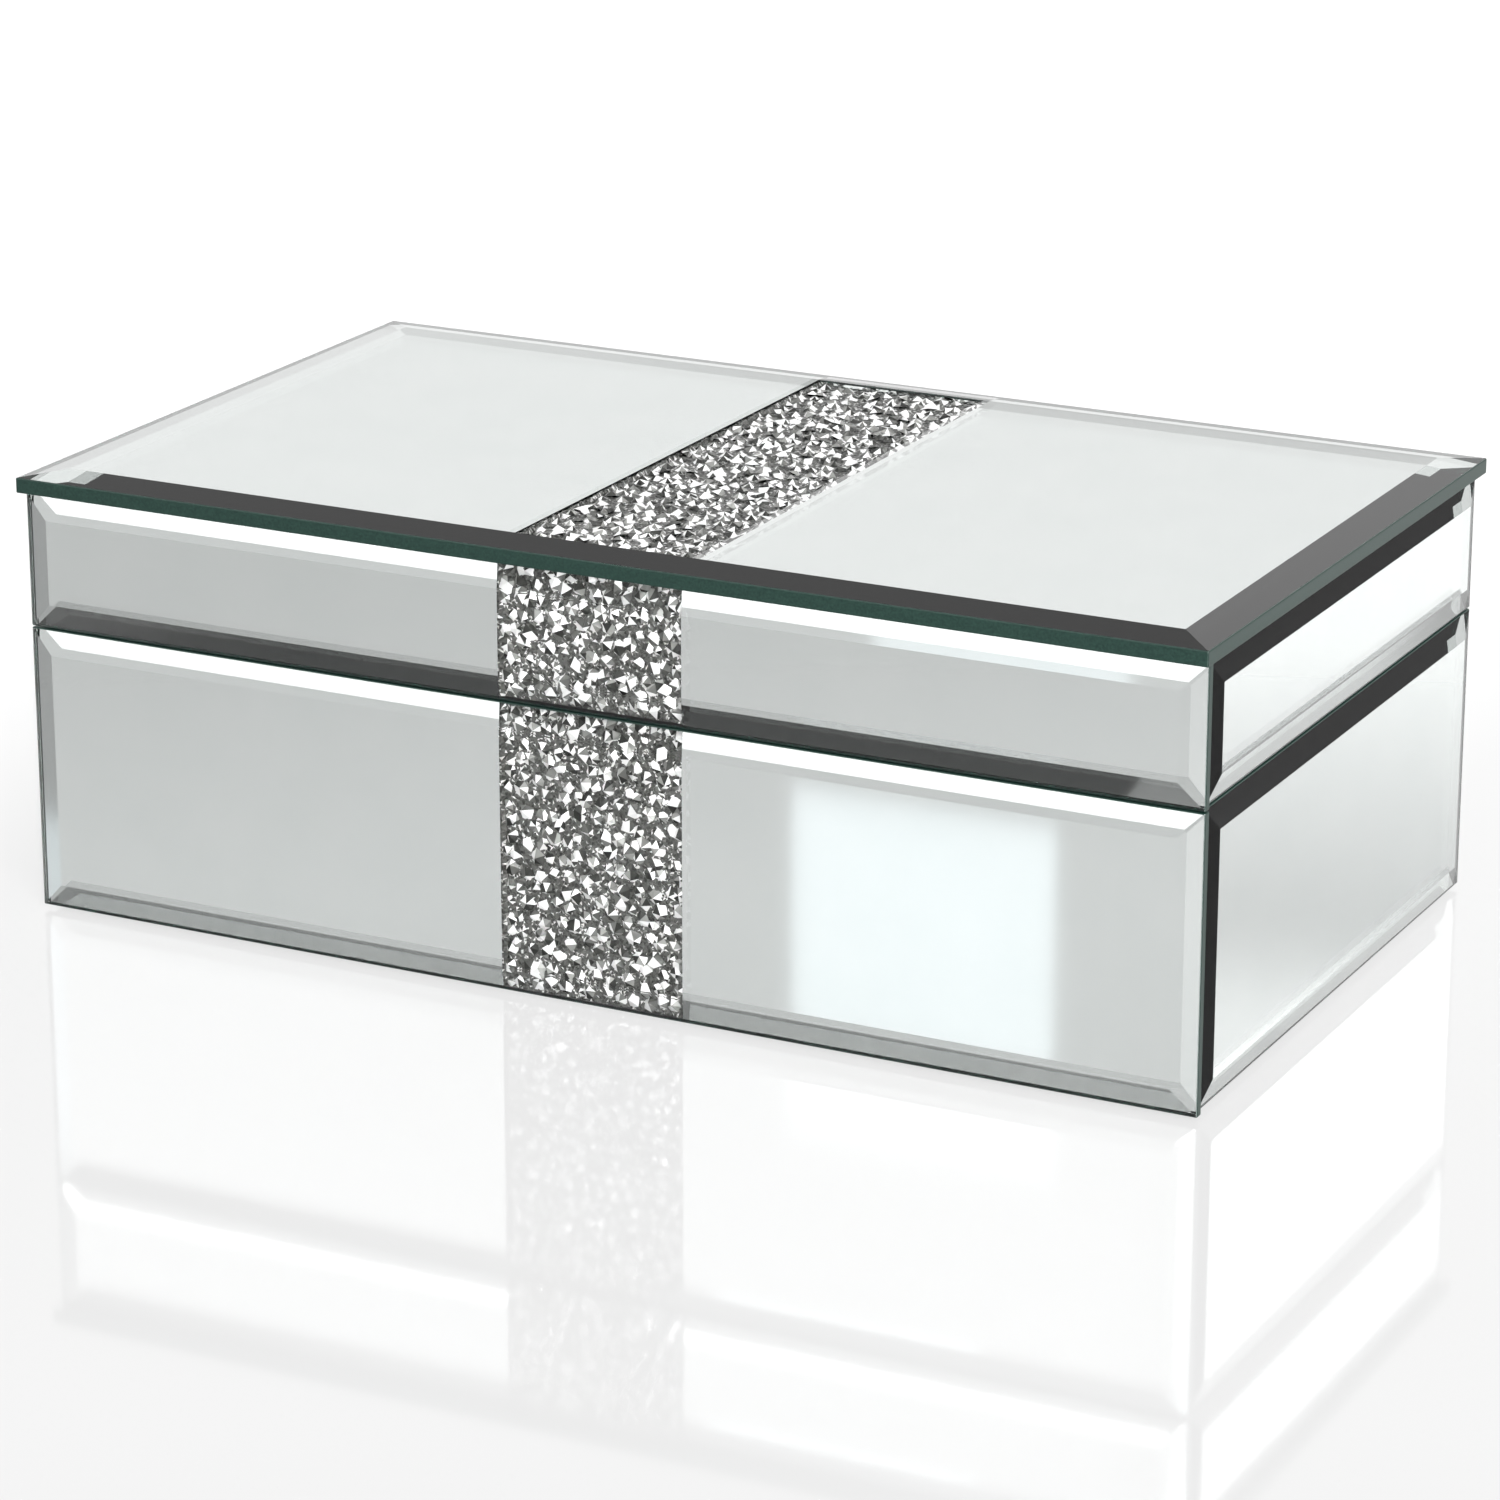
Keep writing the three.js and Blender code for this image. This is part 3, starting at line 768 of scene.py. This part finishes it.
def make_flag():
    """Black cloth on the table, out of the picture in front: low bevels that look out over it go dark.
    Only mirrors see it, and from below it is clear, so that the table under it keeps its gloss."""
    material, tree, shader = new_material("black_flag")
    set_inputs(shader, Base_Color=(0.01, 0.01, 0.01, 1), Roughness=1.0)
    shader.inputs["Specular IOR Level"].default_value = 0
    mix = tree.nodes.new("ShaderNodeMixShader")
    tree.links.new(tree.nodes.new("ShaderNodeNewGeometry").outputs["Backfacing"], mix.inputs["Fac"])
    tree.links.new(shader.outputs["BSDF"], mix.inputs[1])
    tree.links.new(tree.nodes.new("ShaderNodeBsdfTransparent").outputs["BSDF"], mix.inputs[2])
    tree.links.new(mix.outputs["Shader"], tree.nodes["Material Output"].inputs["Surface"])
    corners = [(-3, -4), (-1.25, -4), (-0.08, -0.5), (-0.75, -0.5)]
    flag = flat_sheet("black_flag", corners, 0.4 * MM, material)
    flag.visible_camera = False
    flag.visible_diffuse = False
    flag.visible_shadow = False


def aim(obj, place, target):
    obj.location = place
    direction = Vector(target) - Vector(place)
    obj.rotation_mode = "QUATERNION"
    obj.rotation_quaternion = direction.to_track_quat("-Z", "Y")


def area_light(name, place, target, width, height, power, colour=(1, 1, 1)):
    light = bpy.data.lights.new(name, "AREA")
    light.shape = "RECTANGLE"
    light.size = width
    light.size_y = height
    light.energy = power
    light.color = colour
    obj = bpy.data.objects.new(name, light)
    scene.collection.objects.link(obj)
    aim(obj, place, target)
    obj.visible_camera = False


def blended(tree, factor, one, other, blend_type="MIX"):
    """Two colours mixed. The factor is a socket, or a plain number."""
    node = tree.nodes.new("ShaderNodeMix")
    node.data_type = "RGBA"
    node.blend_type = blend_type
    if isinstance(factor, bpy.types.NodeSocket):
        tree.links.new(factor, node.inputs["Factor"])
    else:
        node.inputs["Factor"].default_value = factor
    tree.links.new(one, node.inputs[6])
    tree.links.new(other, node.inputs[7])
    return node.outputs[2]


def wall_colour(tree, up, across, heights, sides):
    """One wall of the studio, whose brightness changes with height and from side to side."""
    by_height = ramp(tree, up, [(place, grey(value)) for place, value in heights])
    by_side = ramp(tree, across, [(place, grey(value)) for place, value in sides])
    return blended(tree, 1, by_height, by_side, "MULTIPLY")


def make_world():
    """A studio of three walls, in front, behind on the left and behind on the right, with paler and
    darker panels at the heights and sides that the mirrors look at."""
    world = bpy.data.worlds.new("studio")
    scene.world = world
    world.use_nodes = True
    tree = world.node_tree
    direction = tree.nodes.new("ShaderNodeTexCoord").outputs["Generated"]
    split = tree.nodes.new("ShaderNodeSeparateXYZ")
    tree.links.new(direction, split.inputs["Vector"])
    across = shifted(tree, split.outputs["X"], -1, 1)
    low_front = [(0.0, 0.24), (0.13, 0.24), (0.22, 0.0)]
    low_front_sides = [(0.14, 0.8), (0.19, 0.05), (0.34, 0.05), (0.4, 0.8)]
    front = [(0.13, 0.04), (0.22, 0.5), (0.29, 0.6), (0.34, 0.88), (0.42, 1.0), (0.55, 0.5)]
    front_sides = [(0.19, 0.8), (0.215, 0.55), (0.325, 0.55), (0.35, 0.13), (0.4, 0.13), (0.44, 0.5)]
    left = [(0.0, 0.27), (0.05, 0.35), (0.15, 0.35), (0.24, 0.285), (0.3, 0.285), (0.4, 0.28)]
    left += [(0.43, 0.28), (0.465, 0.15), (0.52, 0.15), (0.6, 0.27), (1.0, 0.2)]
    right = [(0.0, 0.2), (0.07, 0.2), (0.085, 0.09), (0.15, 0.09), (0.22, 0.92), (0.295, 0.92)]
    right += [(0.31, 0.76), (0.345, 0.48), (0.36, 0.85), (0.45, 0.8), (0.6, 0.4), (1.0, 0.3)]
    right_sides = [(0.78, 1.0), (0.83, 0.08), (0.89, 0.08), (0.94, 0.6)]

    def wall(heights, sides):
        return wall_colour(tree, split.outputs["Z"], across, heights, sides)

    whole_front = blended(tree, 1, wall(low_front, low_front_sides), wall(front, front_sides), "ADD")
    left_wall = wall(left, [(0.0, 1.0)])
    right_wall = wall(right, right_sides)
    back = blended(tree, shifted(tree, split.outputs["X"], -0.1, 0.1), left_wall, right_wall)
    studio = blended(tree, shifted(tree, split.outputs["Y"], -0.2, 0.2), whole_front, back)
    background = tree.nodes["Background"]
    tree.links.new(studio, background.inputs["Color"])
    background.inputs["Strength"].default_value = WORLD_LIGHT


def make_lights():
    make_world()
    area_light("overhead_softbox", (0, 0.1, 1.6), (0, 0, 0), 2.6, 2.2, OVERHEAD_LIGHT)
    area_light("key_softbox", (-0.83, -1.26, 0.95), (-0.45, 0, 0), 0.9, 0.16, KEY_LIGHT)
    area_light("fill_softbox", (1.3, -1.5, 0.9), (0, 0, 0.04), 0.8, 0.8, FILL_LIGHT)
    daylight = (0.86, 0.95, 1.0)
    area_light("window", (-0.647, -1.6, 0.625), (-0.647, 0, 0.625), 0.15, 0.19, WINDOW_LIGHT, daylight)


def make_camera():
    camera = bpy.data.objects.new("camera", bpy.data.cameras.new("camera"))
    scene.collection.objects.link(camera)
    camera.data.lens = LENS
    camera.data.sensor_width = 36
    level = math.cos(ELEVATION)
    back = Vector((math.sin(AZIMUTH) * level, -math.cos(AZIMUTH) * level, math.sin(ELEVATION)))
    aim(camera, AIM + back * DISTANCE, AIM)
    scene.camera = camera
    scene.view_settings.view_transform = "Standard"


make_camera()
make_glass()
make_crystals()
make_soft_goods()
refinish_cad()
make_floor()
make_flag()
make_lights()
